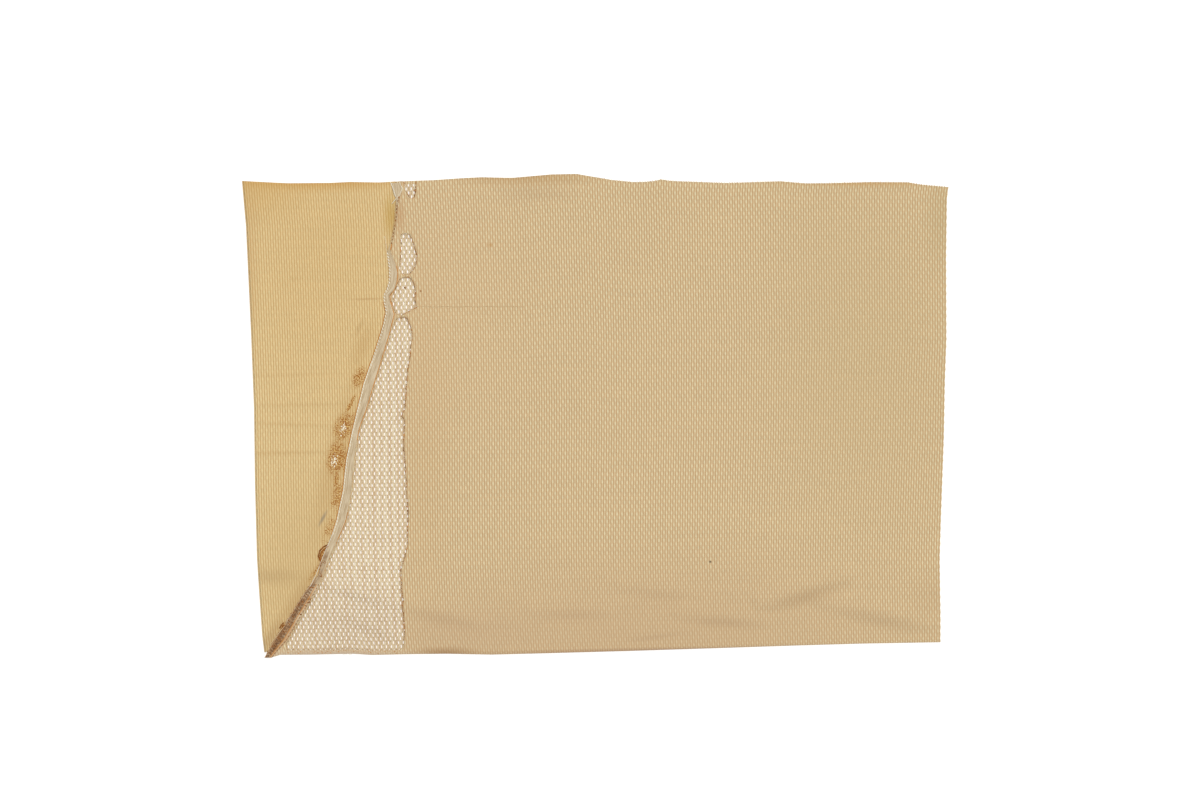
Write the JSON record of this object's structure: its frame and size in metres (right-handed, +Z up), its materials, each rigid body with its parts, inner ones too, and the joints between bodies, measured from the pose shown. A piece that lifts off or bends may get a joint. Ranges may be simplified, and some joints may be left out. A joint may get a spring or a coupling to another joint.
{
  "type": "raffia weave fabric",
  "caption": "Worn length of open raffia weave cloth lying flat in two layers, with a golden side panel, a sewn edge band and torn openings.",
  "frame": {"origin": "centre of the cloth's outline, on the surface it lies on", "axes": "+X to the right along the longer side, +Y to the far edge, +Z up"},
  "size_m": [0.706, 0.484, 0.0048],
  "materials": {
    "tan_weave": "matt tan raffia weave of staggered small openings, brown at its torn edges",
    "golden_weave": "matt golden raffia weave with fine upright ribs and brown stains",
    "edge_band": "smooth grey-beige woven band with a pale cord along one side"
  },
  "bodies": {
    "root": {"main_width": "tan_weave", "left_panel": "golden_weave", "seam_band": "edge_band"}
  },
  "joints": []
}
